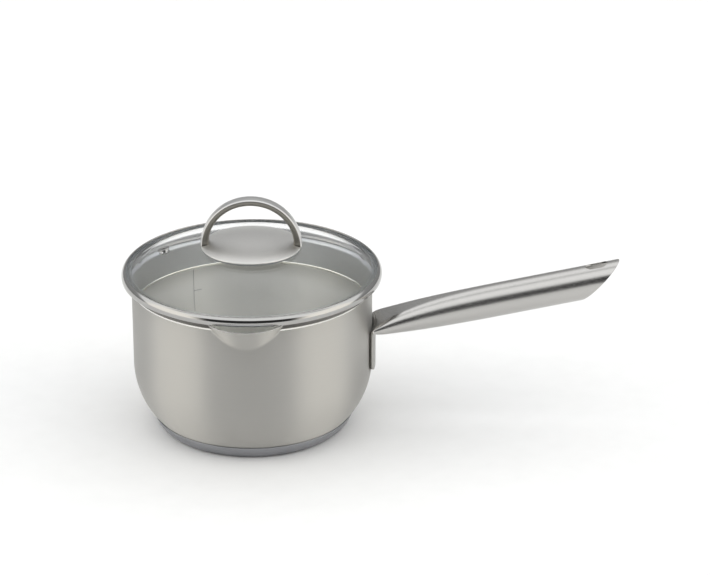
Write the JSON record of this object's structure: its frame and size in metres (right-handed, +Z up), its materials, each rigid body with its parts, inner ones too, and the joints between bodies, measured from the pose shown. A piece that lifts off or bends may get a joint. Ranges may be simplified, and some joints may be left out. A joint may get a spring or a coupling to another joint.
{
  "type": "saucepan with glass lid",
  "caption": "Steel saucepan with a pouring spout, a hollow tube handle and a domed glass lid with a steel rim, vent and bow knob.",
  "frame": {"origin": "centre of the flat underside of the base", "axes": "+Z up along the pan's axis, +X towards the handle's tip, -Y towards the pouring spout"},
  "size_m": [0.3242, 0.179, 0.1566],
  "materials": {
    "pan_steel": "satin, brushed round the body",
    "base_steel": "fine turned satin",
    "core_aluminium": "rolled",
    "handle_steel": "satin, brushed along the tube",
    "rim_steel": "polished",
    "knob_steel": "satin",
    "lid_glass": "clear, polished",
    "silicone": "matt translucent grey"
  },
  "bodies": {
    "pan": {"pan_shell": "pan_steel", "base_core": "core_aluminium", "base_cap": "base_steel", "handle_tube": "handle_steel", "handle_spot_welds": "handle_steel"},
    "lid": {"lid_glass": "lid_glass", "lid_rim_ring": "rim_steel", "glass_edge_seal": "silicone", "vent_eyelet": "rim_steel", "vent_sleeve": "silicone", "knob_plate": "knob_steel", "knob_arch": "knob_steel", "knob_gasket_upper": "silicone", "glass_bush": "silicone", "knob_gasket_lower": "silicone", "knob_washer": "rim_steel", "knob_stud": "rim_steel", "knob_nut": "rim_steel"}
  },
  "joints": [
    {"name": "lid_lift", "type": "slide", "parent": "pan", "child": "lid", "axis": [0, 0, 1], "range_m": [0, 0.15]}
  ]
}
